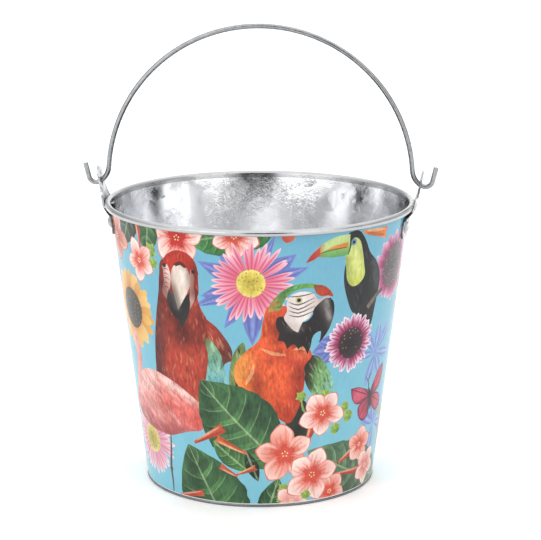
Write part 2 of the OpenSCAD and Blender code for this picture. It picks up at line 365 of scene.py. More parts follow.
def under_outline(outline, at):
    """Which of an array of places lie inside an outline."""
    hit = np.zeros(len(at), bool)
    for a, b in zip(outline, outline[-1:] + outline[:-1]):
        if a[1] != b[1]:
            spans = (a[1] > at[:, 1]) != (b[1] > at[:, 1])
            hit ^= spans & (at[:, 0] < (b[0] - a[0]) * (at[:, 1] - a[1]) / (b[1] - a[1]) + a[0])
    return hit


def mix(a, b, t):
    """A hex colour part of the way from one to another."""
    return "#" + "".join("%02X" % round(255 * (x + (y - x) * t)) for x, y in zip(rgb(a), rgb(b)))


def sliver(put, path, width, inks, grain=0.0, cover=1.0):
    """A line that tapers to a point at both ends, such as a vein or a streak."""
    line = smooth(path, closed=False, step=3.0)
    left, right = [], []
    for i, p in enumerate(line):
        a, b = line[max(i - 1, 0)], line[min(i + 1, len(line) - 1)]
        long = math.dist(a, b)
        half = width / 2 * math.sin(math.pi * (0.08 + 0.84 * i / (len(line) - 1)))
        across = (-(b[1] - a[1]) / long * half, (b[0] - a[0]) / long * half)
        left.append((p[0] + across[0], p[1] + across[1]))
        right.append((p[0] - across[0], p[1] - across[1]))
    ink(put, left + right[::-1], inks, path[0][:2], path[-1][:2], grain, cover)


def petal(put, long, wide, inks, neck=0.45, tip=0.55, grain=0.0):
    """A petal that grows up from the origin."""
    half = wide / 2
    outline = smooth([
        (-half * neck, 0, 0), (-half * 0.9, long * 0.35), (-half, long * 0.65), (-half * tip, long * 0.93),
        (0, long, 0.6), (half * tip, long * 0.93), (half, long * 0.65), (half * 0.9, long * 0.35),
        (half * neck, 0, 0),
    ])
    ink(put, outline, inks, (0, 0), (0, long), grain)


def turned(x, y, turn, out=0.0, size=1.0):
    """A place on a flower: this far out from its middle, facing outwards."""
    a = math.radians(turn)
    return spot(x + out * math.sin(a), y + out * math.cos(a), -turn, size)


def daisy(x, y, count, disc_r, petal_l, petal_w, petals, disc, seed, streak=None):
    """Two rows of narrow petals of uneven length round a disc of florets."""
    chance = random.Random(seed)
    for row in (0, 1):
        for i in range(count):
            bearing = 360 * (i + row / 2) / count + chance.uniform(-4, 4)
            long = petal_l * (1.0 - 0.1 * row) * chance.uniform(0.82, 1.05)
            at = turned(x, y, bearing, disc_r * 0.8)
            light = chance.uniform(-0.16, 0.22)
            inks = [mix(c, "#FFFFFF" if light > 0 else "#8A2A4A", abs(light)) for c in petals]
            petal(at, long, petal_w * chance.uniform(0.85, 1.1), inks, neck=0.5, tip=0.5)
            if streak:
                lean = chance.uniform(-0.15, 0.15) * petal_w
                path = [(lean, long * 0.08), (lean, long * 0.45), (lean, long * 0.85)]
                sliver(at, path, petal_w * 0.4, [streak], cover=0.5)
    ink(SHEET, ring(x, y, disc_r), disc, (x, y), float(disc_r), grain=0.6)
    florets = int(disc_r * disc_r * 0.55)
    for i in range(florets):
        out = disc_r * 1.02 * math.sqrt((i + 0.5) / florets)
        a = math.radians(137.5 * i)
        fleck = chance.choice(["#2A2418", disc[-1], "#FFF2B0"])
        ink(SHEET, ring(x + out * math.cos(a), y + out * math.sin(a), 0.6, 5), [fleck], cover=0.35)


def blossom(x, y, r, turn, petals, heart, seed, wide=0.8):
    """Five pointed petals, flushed from the throat, over one another."""
    chance = random.Random(seed)
    for i in (0, 2, 4, 1, 3):
        bearing = turn + 72 * i + chance.uniform(-7, 7)
        long = r * chance.uniform(0.92, 1.08)
        light = chance.uniform(-0.1, 0.3)
        inks = [mix(c, "#FFF4EC" if light > 0 else heart[0], abs(light)) for c in [heart[-1]] + petals]
        at = turned(x, y, bearing, r * 0.05)
        half = r * wide * chance.uniform(0.44, 0.54)
        for size, shades in ((1.0, [mix(petals[0], "#B0503C", 0.35)]), (0.95, inks)):
            ink(at, smooth([
                (-half * 0.45, 0, 0), (-half * 0.95 * size, long * 0.4), (-half * 0.9 * size, long * 0.68),
                (-half * 0.3 * size, long * 0.93 * size), (half * 0.08, long * size, 0.4),
                (half * 0.5 * size, long * 0.9 * size), (half * 0.97 * size, long * 0.64),
                (half * 0.9 * size, long * 0.36), (half * 0.45, 0, 0),
            ]), shades, (0, 0), (0, long), grain=0.3)
        for lean in (-0.3, -0.08, 0.2):
            reach = long * chance.uniform(0.55, 0.9)
            path = [(lean * half * 0.4, r * 0.1), (lean * half * 1.6, reach * 0.6),
                    (lean * half * 1.9, reach)]
            sliver(at, path, r * 0.07, [heart[0]], cover=0.28)
        sliver(at, [(half * 0.5, long * 0.25), (half * 0.75, long * 0.6), (half * 0.4, long * 0.88)], r * 0.1,
               ["#FFFFFF"], cover=0.35)
    spikes = 40
    for size, cover in ((1.35, 0.35), (1.0, 0.9)):
        star = []
        for i in range(spikes):
            a = 2 * math.pi * i / spikes
            lobe = 0.32 + 0.07 * math.cos(5 * (a - math.pi / 2 + math.radians(turn)))
            out = size * r * (lobe + (0.06 if i % 2 else -0.04) * chance.uniform(0.3, 1.3))
            star.append((x + out * math.cos(a), y + out * math.sin(a)))
        ink(SHEET, star, heart, (x, y), float(r * 0.42), cover=cover)
    for i in range(5):
        a = math.radians(turn + 72 * i + 20)
        ink(SHEET, ring(x + r * 0.09 * math.cos(a), y + r * 0.09 * math.sin(a), 0.55, 6), ["#F6D8A8"])


def lily(x, y, inks, petals):
    """Long pointed petals, each (turn, length, width, bend)."""
    for turn, long, wide, bend in petals:
        at = turned(x, y, turn)
        half = wide / 2
        outline = smooth([
            (0, 0, 0), (-half * 0.6 + bend * 0.2, long * 0.3), (-half + bend * 0.6, long * 0.62),
            (bend, long, 0), (half + bend * 0.6, long * 0.6), (half * 0.7 + bend * 0.2, long * 0.3),
        ])
        ink(at, outline, inks, (0, 0), (0, long), grain=0.4)
        fold = [(0, long * 0.08), (bend * 0.3, long * 0.45), (bend * 0.8, long * 0.88)]
        sliver(at, fold, wide * 0.2, ["#FFFFFF"], cover=0.16)
        for side in (-1, 1):
            path = [(side * half * 0.3, long * 0.15), (bend * 0.4 + side * half * 0.5, long * 0.5),
                    (bend * 0.8 + side * half * 0.25, long * 0.85)]
            sliver(at, path, wide * 0.14, ["#20306A"], cover=0.2)


def leaf(tip, base, half, green, dark, bend=0.0, pairs=7, seed=0):
    """A broad pointed leaf: two halves that fall away in shade from a fine rib, with faint side veins
    and a darker hollow beside each."""
    chance = random.Random(seed)
    long = math.dist(tip, base)
    at = spot(tip[0], tip[1], math.degrees(math.atan2(base[1] - tip[1], base[0] - tip[0])) - 90)

    def spine(t):
        return bend * math.sin(math.pi * t)

    def width(t):
        return half * math.sin(math.pi * min(max(t, 0.0), 1.0) ** 0.9)

    steps = [i / 24 for i in range(25)]
    for side in (-1, 1):
        edge = [(spine(t) + side * width(t) * (1 + 0.03 * chance.uniform(-1, 1)), long * t) for t in steps]
        core = [(spine(t), long * t) for t in steps[::-1]]
        shades = [mix(green, dark, 0.75), green, mix(green, "#B8CC9C", 0.12), mix(green, dark, 0.5)]
        ink(at, edge + core[1:-1], shades if side < 0 else shades[::-1], (-half, 0), (half, 0), grain=1.0)
        for i in range(pairs):
            root = 0.18 + 0.76 * i / pairs
            reach = root - 0.13
            ahead = root + 0.45 / pairs
            hollow = smooth([
                (spine(root), long * root, 0),
                (spine(reach) + side * width(reach + 0.02) * 0.6, long * (root - 0.07)),
                (spine(reach) + side * width(reach) * 0.94, long * reach, 0),
                (spine(ahead) + side * width(ahead) * 0.5, long * (ahead - 0.06)),
                (spine(ahead), long * ahead, 0),
            ], step=3.0)
            ink(at, hollow, [dark], grain=1.0, cover=chance.uniform(0.25, 0.55))
            path = [
                (spine(root), long * root),
                (spine(reach) + side * width(reach + 0.02) * 0.55, long * (root - 0.07)),
                (spine(reach) + side * width(reach) * 0.85, long * reach),
            ]
            sliver(at, path, 0.8, ["#C8DCA8"], cover=0.3)
    sliver(at, [(0, long * 0.02), (spine(0.5), long * 0.5), (0, long * 0.98)], 1.4, ["#C8DCA8"], cover=0.5)


def bud(x, y, turn, long, wide, inks):
    """A slim closed flower with a pale flared mouth, from its stalk upwards."""
    at = spot(x, y, turn)
    half = wide / 2
    outline = smooth([
        (-half * 0.3, 0, 0), (-half * 0.55, long * 0.4), (-half * 0.85, long * 0.8), (-half, long, 0),
        (0, long * 0.95), (half, long, 0), (half * 0.85, long * 0.8), (half * 0.55, long * 0.4),
        (half * 0.3, 0, 0),
    ])
    ink(at, outline, inks, (-half, 0), (half, 0), grain=0.5)
    sliver(at, [(half * 0.2, long * 0.1), (half * 0.35, long * 0.5), (half * 0.45, long * 0.9)], wide * 0.3,
           ["#7A2A1C"], cover=0.3)
    sliver(at, [(-half * 0.2, long * 0.1), (-half * 0.4, long * 0.5), (-half * 0.5, long * 0.9)], wide * 0.25,
           ["#FFF0D8"], cover=0.45)


def berry(x, y, r, seed):
    """A lime-green bud with its calyx."""
    chance = random.Random(seed)
    ink(SHEET, ring(x, y, r * 0.85, 14), ["#C4D472", "#8DAA44", "#4F7636"], (x - r * 0.3, y + r * 0.3),
        r * 1.3)
    for i in range(5):
        turn = chance.uniform(0, 50) + 72 * i
        petal(turned(x, y, turn, r * 0.2), r, r * 0.5, ["#6E9440", "#B4C86C"], neck=0.3, tip=0.2)


def plumage(outline, tries, long, seed, fall=-90.0, dark="#3A0C08", pale="#FFD9A8", depth=0.3):
    """Fine translucent strokes inside a shape, as feathers lie, some darker and some paler."""
    chance = random.Random(seed)
    low, high = np.min([p[:2] for p in outline], 0), np.max([p[:2] for p in outline], 0)
    for i in range(tries):
        x, y = chance.uniform(low[0], high[0]), chance.uniform(low[1], high[1])
        way = math.radians(fall + chance.uniform(-18, 18))
        reach = long * chance.uniform(0.6, 1.3)
        tint = dark if chance.random() < 0.6 else pale
        cover = depth * chance.uniform(0.3, 1.0)
        bow = chance.uniform(-0.12, 0.12) * reach
        tip = (x + reach * math.cos(way), y + reach * math.sin(way))
        middle = ((x + tip[0]) / 2 - bow * math.sin(way), (y + tip[1]) / 2 + bow * math.cos(way))
        if under_outline(outline, np.array([(x, y), tip])).all():
            sliver(SHEET, [(x, y), middle, tip], long * 0.26, [tint], grain=1.0, cover=cover)


# ---- the birds ----

def red_macaw():
    """Seen from the front, its wing on the right."""
    first = len(printed)
    wing = smooth([(-33, 135), (-28, 127), (-20, 121), (-13, 112), (-10, 105), (-11, 99, 0), (-15, 97),
                   (-16, 90), (-16, 80, 0), (-30, 78, 0), (-34, 105)])
    ink(SHEET, wing, ["#B04030", "#96382C", "#5E342C"], (-34, 110), (-10, 104), grain=1.0)
    plumage(wing, 80, 6.5, 11, fall=-62)
    cover = smooth([(-31, 113, 0), (-24, 112), (-18, 104), (-16, 96), (-14, 84), (-15, 79, 0),
                    (-29, 79, 0), (-27, 90), (-27, 100)])
    ink(SHEET, cover, ["#6E9460", "#76AC9C", "#78BCCA"], (-26, 112), (-22, 80), grain=1.0)
    plumage(cover, 45, 9.0, 13, fall=-82, dark="#1E4A38", pale="#C8E4C0", depth=0.45)
    body = smooth([(-57, 160), (-61, 148), (-62, 138), (-65, 122), (-67, 108), (-68, 92), (-68, 74, 0),
                   (-31, 66, 0), (-31, 82), (-27, 92), (-26, 102), (-28, 112), (-26, 124), (-31, 134),
                   (-33, 146), (-33, 158)])
    ink(SHEET, body, ["#6E2C24", "#A83A2B", "#B44432", "#A43A2C"], (-69, 110), (-27, 112), grain=1.0)
    plumage(body, 300, 5.5, 12, depth=0.24)
    head = smooth([(-59, 140), (-60, 150), (-57, 160), (-51, 166), (-44, 168), (-37, 166), (-32.5, 160),
                   (-31.5, 150), (-32, 140), (-40, 132), (-52, 132)])
    ink(SHEET, head, ["#B83220", "#B8301E", "#6A2018"], (-45, 168), (-45, 130), grain=0.8)
    plumage(head, 90, 3.5, 14, fall=-100)
    for cheek in (
        [(-58, 155, 0), (-54, 157), (-51.5, 150), (-52, 143), (-54, 133, 0), (-59, 138), (-57, 146)],
        [(-36.5, 157, 0), (-34, 152), (-34.5, 146), (-34, 138), (-38, 130, 0), (-37.5, 141), (-37.5, 150)],
    ):
        ink(SHEET, smooth(cheek), ["#DCC4BC", "#C89A90"], (-58, 150), (-52, 140), grain=0.6)
    for y in (153, 150, 147, 144, 141):
        sliver(SHEET, [(-58, y), (-55, y + 1), (-52.5, y)], 0.9, ["#9A2E26"], cover=0.6)
    spray(first, (-62, 138), (-66, 80), 13, "#4E1610", 0.6)
    spray(first, (-46, 126), (-44, 112), 15, "#4A120E", 0.75)
    spray(first, (-30, 128), (-30, 112), 9, "#5A1A14", 0.5)
    spray(first, (-42, 98), (-40, 84), 12, "#DC5038", 0.3)
    spray(first, (-34, 142), (-33, 158), 7, "#4A1610", 0.5)
    spray(first, (-60, 142), (-59, 158), 6, "#3E120E", 0.5)
    spray(first, (-54, 90), (-50, 72), 12, "#B83A2A", 0.4)
    ink(SHEET, ring(-56.2, 156.0, 1.4, 10), ["#2A1A16"])
    ink(SHEET, ring(-34.8, 155.5, 1.3, 10), ["#2A1A16"])
    bill = len(printed)
    lower = smooth([(-53, 141, 0), (-55, 135), (-54, 129), (-50, 124), (-46, 121), (-44, 116, 0),
                    (-41.5, 121), (-39, 126), (-37.5, 133), (-38, 141, 0), (-45, 136)])
    ink(SHEET, lower, ["#3A3435", "#1E1A1B", "#2E2A2B"], (-54, 138), (-38, 128), grain=0.3)
    upper = smooth([(-44, 159.5), (-39.5, 157.5), (-37, 151), (-38, 144), (-42, 136), (-46.5, 128, 0),
                    (-49, 137), (-51, 145), (-51, 152), (-48.5, 157.5)])
    ink(SHEET, upper, ["#A8968A", "#E2D2C4", "#E6D4C6", "#A8948A"], (-51, 145), (-37, 149), grain=0.4)
    spray(bill, (-50, 142), (-47, 130), 5, "#6E625C", 0.6)
    spray(bill, (-42, 155), (-43, 148), 4, "#FFF6EC", 0.6)
    cere = smooth([(-49, 158), (-44, 161), (-39, 158), (-41, 157), (-44, 158.5), (-47, 157)])
    ink(SHEET, cere, ["#5A241C"])


def orange_macaw():
    """Seen from its right, looking right."""
    first = len(printed)
    tail = smooth([(22, 60, 0), (32, 72), (38, 66), (42, 54), (38, 42, 0), (26, 46)])
    ink(SHEET, tail, ["#343E32", "#20261F", "#3A4834"], (22, 60), (42, 48), grain=0.8)
    back = smooth([(-3, 112), (-8, 107), (-11, 99), (-12.5, 88), (-12, 79, 0), (-6, 78, 0), (-7, 92),
                   (-2, 103)])
    ink(SHEET, back, ["#4E5A34", "#7E9858", "#3E4A2E"], (-13, 100), (-2, 96), grain=1.0)
    plumage(back, 70, 5.0, 21, fall=-75, dark="#1C2014", pale="#C8D890", depth=0.5)
    wing = smooth([(38, 101), (46, 98), (52, 88), (56, 76), (50, 66), (42, 72), (36, 82), (34, 93)])
    ink(SHEET, wing, ["#3C3A2C", "#6A9458", "#84B478", "#80C0AC"], (35, 92), (55, 80), grain=1.0)
    plumage(wing, 110, 5.0, 22, fall=-65, dark="#20341C", pale="#D8F0C8", depth=0.35)
    spray(first, (37, 98), (36, 78), 7, "#241A14", 0.7)
    breast_first = len(printed)
    breast = smooth([(13, 136), (9, 126), (7.5, 116), (4, 111), (-2, 106), (-8, 98), (-9.5, 90),
                     (-6, 82), (2, 76), (12, 67), (20, 59), (25, 57), (29, 62), (33, 72), (35, 84),
                     (35, 94), (40, 101), (36, 108), (30, 112), (26, 124), (26, 134)])
    ink(SHEET, breast, ["#E0843C", "#DC5E32", "#D65030", "#C24630"], (-10, 92), (36, 96), grain=1.0)
    plumage(breast, 230, 6.0, 23, fall=-80, dark="#8A2410", pale="#FFC070", depth=0.2)
    for path in (
        [(8, 108), (14, 105), (23, 103)],
        [(28, 106), (33, 107), (38, 104)],
        [(-2, 84), (2, 92), (3, 98)],
    ):
        sliver(SHEET, path, 2.4, ["#F8C890"], grain=1.0, cover=0.6)
    spray(breast_first, (-6, 90), (-2, 100), 9, "#EFA04E", 0.7)
    spray(breast_first, (4, 90), (6, 78), 7, "#7E2A16", 0.5)
    spray(breast_first, (12, 128), (16, 134), 7, "#B84A28", 0.5)
    spray(breast_first, (18, 120), (34, 108), 8, "#5A1A10", 0.65)
    spray(breast_first, (18, 92), (22, 84), 12, "#F26A38", 0.5)
    spray(breast_first, (32, 92), (30, 74), 8, "#8E2A1A", 0.6)
    spray(breast_first, (20, 66), (26, 60), 9, "#A0301E", 0.6)
    spray(breast_first, (30, 104), (36, 102), 6, "#F07A48", 0.5)
    throat_first = len(printed)
    throat = smooth([(19.5, 129), (17, 123), (19, 118), (18, 113, 0), (22, 112), (24, 107, 0),
                     (28, 110), (31, 106, 0), (34, 108), (37, 102, 0), (39, 107), (41, 114), (46, 116),
                     (45, 109, 0), (50, 114), (53, 122), (54.5, 131), (52, 138), (46, 136), (36, 124)])
    ink(SHEET, throat, ["#2A2624", "#1E1B1A", "#2E2C2D"], (20, 118), (52, 128), grain=0.6)
    plumage(throat, 60, 4.0, 24, fall=-70, dark="#000000", pale="#8A7C74", depth=0.4)
    face = smooth([(24, 138), (27, 142.5), (34, 144), (41, 142), (44, 137.5), (50, 138.5), (52.5, 137),
                   (46, 135), (41, 131), (38, 126), (34, 124), (31, 117.5, 0), (28, 119), (24, 124),
                   (22, 128), (24, 132)])
    ink(SHEET, face, ["#DCCFCA", "#EFE6E0", "#CDB8B2"], (24, 132), (46, 134), grain=0.3)
    spray(throat_first, (26, 122), (32, 120), 5, "#B8A49E", 0.4)
    for y, bow in ((141.5, 0.6), (138, -1.5), (135.5, -2.0), (132.5, -1.4), (129.5, -0.8)):
        path = [(25, y), (31, y + bow - 1), (38, y + bow * 0.3), (42, y + 1)]
        sliver(SHEET, path, 0.9, ["#3A2A28"], cover=0.75)
    bill = len(printed)
    upper = smooth([(41, 131), (45, 135), (50, 137.5), (54.5, 135), (55.5, 128), (53.5, 120), (50, 114),
                    (45, 108.5, 0), (47.5, 114), (48.5, 119), (46, 124), (41.5, 125)])
    ink(SHEET, upper, ["#1C191A", "#262324", "#5E5857", "#181617"], (41, 124), (55, 130), grain=0.2)
    spray(bill, (50, 136), (52, 124), 3.0, "#C8BEBA", 0.6)
    crown = smooth([(12, 132, 0), (14, 138), (20, 144.5), (28, 148.5), (37, 149), (45, 147),
                    (44, 144.5), (36, 146), (28, 144.5), (23, 140), (20, 133, 0)])
    crown_first = len(printed)
    ink(SHEET, crown, ["#7A9450", "#52904A", "#76A858"], (12, 134), (44, 146), grain=1.0)
    plumage(crown, 60, 4.0, 25, fall=20, dark="#1E4020", pale="#D0E8A0", depth=0.4)
    spray(crown_first, (12, 132), (16, 138), 6, "#C8703C", 0.6)
    brow = smooth([(41, 147.5, 0), (48, 146), (53, 141.5), (54.5, 137.5), (51, 139), (47, 139),
                   (43, 141.5)])
    ink(SHEET, brow, ["#8E4A34", "#C0442A", "#B43A28"], (42, 146), (54, 139), grain=1.0)
    ink(SHEET, ring(31.6, 138.6, 2.4, 14), ["#A8A280", "#D0C8A0"], (31.6, 138.6), 2.4)
    ink(SHEET, ring(31.6, 138.6, 1.3, 10), ["#161210"])


def toucan():
    """Perched, its bill to the left."""
    first = len(printed)
    perch = smooth([(82, 124, 0), (90, 129), (99, 132), (99, 129.5), (91, 126), (84, 121.5, 0)])
    body = smooth([(65, 175.5), (70, 177.5), (75, 176), (80, 169), (84, 160), (90, 153), (94.5, 144),
                   (94.5, 134), (91, 122), (88, 112), (84, 106, 0), (78, 112), (74, 120), (69, 124),
                   (65, 134), (62.5, 145), (63, 155), (66, 163)])
    ink(SHEET, body, ["#2E3032", "#242628", "#1C1E20", "#34373A"], (62, 140), (95, 146), grain=0.8)
    plumage(body, 90, 7.0, 31, fall=-78, dark="#000000", pale="#8C9498", depth=0.2)
    ink(SHEET, perch, ["#7C7068", "#5E544E"], (82, 122), (99, 131), grain=1.0)
    spray(first, (88, 152), (92, 136), 5, "#5A6066", 0.45)
    bib_first = len(printed)
    bib = smooth([(66, 168), (70, 173), (75, 170), (77.5, 161), (79, 152), (79.5, 146), (75, 141.5),
                  (69, 141), (65, 146), (64, 154), (63, 161, 0)])
    ink(SHEET, bib, ["#B4C478", "#CCD276", "#C4CC5E"], (70, 172), (72, 142), grain=0.6)
    plumage(bib, 40, 5.0, 32, fall=-90, dark="#6A7A30", pale="#FFFFD8", depth=0.14)
    spray(bib_first, (64, 160), (65, 146), 5, "#7C8C48", 0.5)
    spray(bib_first, (72, 160), (74, 150), 6, "#E8EE9A", 0.5)
    bill = len(printed)
    top = smooth([(67, 176, 0), (58, 176.5), (50, 174.5), (44, 171), (39.5, 166.5), (36, 162.5, 0),
                  (40, 163.5), (46, 167.5), (54, 168.5), (66.5, 168.5, 0)])
    ink(SHEET, top, ["#A8CC7C", "#CCDC98", "#B4CC7C"], (50, 176), (54, 167), grain=0.3)
    under = smooth([(66.5, 170, 0), (54, 170), (46, 167.5), (43, 165.5, 0), (50, 164), (58, 163),
                    (65.5, 163, 0)])
    ink(SHEET, under, ["#8CBC6C", "#62A258"], (56, 170), (56, 163), grain=0.3)
    stripe = smooth([(65.5, 171.2, 0), (56, 170.8), (50, 169, 0), (57, 167.8), (64.5, 167.5, 0)])
    ink(SHEET, stripe, ["#D89848", "#D07C34"], (52, 169), (65, 169))
    tip = smooth([(45.5, 171.5, 0), (40, 167.5), (36, 162.3, 0), (41, 163.6), (45.5, 166.2, 0)])
    ink(SHEET, tip, ["#A83028", "#C04438"], (36, 163), (45, 170))
    spray(bill, (46, 172), (45, 166), 4, "#C05A3C", 0.6)
    sliver(SHEET, [(45, 167.3), (54, 168.3), (65.5, 168)], 0.8, ["#2A3A20"], cover=0.6)
    sliver(SHEET, [(67, 175.5), (67.3, 169), (65.5, 163)], 1.2, ["#1A1C1A"])
    ink(SHEET, ring(69.8, 170.2, 2.2, 14), ["#7CA2B4", "#5C8CA6"], (69.8, 170.2), 2.2)
    ink(SHEET, ring(69.8, 170.2, 1.1, 10), ["#0E1012"])


def flamingo():
    """Its body and one leg, with the neck passing behind the sunflower."""
    first = len(printed)
    neck = smooth([(-97, 60, 0), (-95, 72), (-93, 80), (-94, 90), (-98, 100, 0), (-91, 100, 0),
                   (-87, 92), (-85.5, 82), (-87, 74), (-86, 66, 0)])
    ink(SHEET, neck, ["#F0B8B0", "#E2877C"], (-97, 84), (-86, 84), grain=0.7)
    sliver(SHEET, [(-56.5, 44), (-56.8, 30), (-57.5, 17), (-56.5, 8), (-56, -4)], 1.9, ["#6E5A60", "#57484E"])
    ink(SHEET, ring(-57.3, 16, 1.6, 10), ["#6A5258"])
    body = smooth([(-104, 46, 0), (-99, 58), (-92, 70), (-84, 76.5), (-76, 80), (-67, 81), (-57, 79.5),
                   (-47, 76.5), (-38, 71.5), (-31, 66.5), (-29.5, 58), (-31, 50), (-40, 47),
                   (-48, 43.5), (-56, 40), (-65, 39), (-74, 38.5), (-84, 39.5), (-94, 41)])
    ink(SHEET, body, ["#F0BCB2", "#E69A90", "#DC807A", "#B45C5A"], (-64, 82), (-62, 38), grain=1.0)
    plumage(body, 170, 10.0, 41, fall=-30, dark="#B04848", pale="#FFE4DC", depth=0.22)
    spray(first, (-60, 62), (-42, 60), 13, "#D85A52", 0.65)
    spray(first, (-88, 62), (-74, 74), 10, "#F4CFC6", 0.6)
    spray(first, (-60, 78), (-38, 70), 5, "#F6D8D0", 0.7)
    spray(first, (-92, 44), (-50, 43), 7, "#9A4A4C", 0.6)
    spray(first, (-36, 50), (-32, 60), 8, "#D0443C", 0.6)
    spray(first, (-76, 56), (-66, 52), 9, "#E8A49C", 0.5)


def butterfly():
    """Wings spread, turned a little."""
    first = len(printed)
    for wing in (
        [(90, 62), (84, 66), (77, 69.5), (70, 70.5, 0), (71, 63), (75, 58), (82, 57), (89, 59)],
        [(89, 59), (82, 58), (77, 55), (78, 48), (83, 43.5), (88.5, 45.5), (90.5, 52)],
        [(90, 61), (95, 68), (101, 73.5), (108, 75, 0), (109, 68), (105, 61), (98, 58), (91, 58)],
        [(91, 58), (98, 58), (105, 54), (108, 47), (102, 43.5), (96, 47), (91.5, 53)],
    ):
        ink(SHEET, smooth(wing), ["#5E2C44"])
        middle = [sum(p[a] for p in wing) / len(wing) for a in (0, 1)]
        inner = [(middle[0] + (p[0] - middle[0]) * 0.86, middle[1] + (p[1] - middle[1]) * 0.86) for p in wing]
        ink(SHEET, smooth(inner), ["#8E3A54", "#CC4C64", "#B84260"], (90, 59), 18.0, grain=0.8)
        for i in range(1, len(wing), 2):
            path = [(90, 59), ((90 + inner[i][0]) / 2, (59 + inner[i][1]) / 2), inner[i]]
            sliver(SHEET, path, 0.9, ["#4A1C30"], cover=0.6)
    spray(first, (78, 66), (74, 62), 7, "#E07888", 0.6)
    spray(first, (88, 50), (92, 64), 6, "#4A2038", 0.6)
    sliver(SHEET, [(88, 66), (90.3, 59), (92, 48)], 2.6, ["#2E2028"])
    for tip in ((84, 74), (91, 75)):
        sliver(SHEET, [(88.5, 65), (87.5, 70), tip], 0.6, ["#2E2028"])


# ---- the whole design ----
BLUE = ["#5C6CB0", "#7684C6"]
FAINT_BLUE = ["#7C96D2", "#8CAEDE"]
CORAL = ["#EA8C7A", "#F3B0A0", "#F9DACE"]
PINKISH = ["#EE9A90", "#F7CFC4", "#FBEAE4"]
THROAT = ["#D2503F", "#E06552"]
RUSSET = ["#C4604A", "#D08A70", "#E0B098"]
GOLD = ["#C87C34", "#E0A84C", "#E8BC64"]
PLUM = ["#7A1A44", "#963060", "#C87098", "#ECCADA"]
PLUM_AND_WHITE = ["#7A1A3C", "#A03460", "#E6B4CA", "#F8E8F0"]
GREEN = ("#4C7A4A", "#24402C")
FRESH_GREEN = ("#4C8A4C", "#2A5A34")
GREY_GREEN = ("#5E8460", "#34483A")


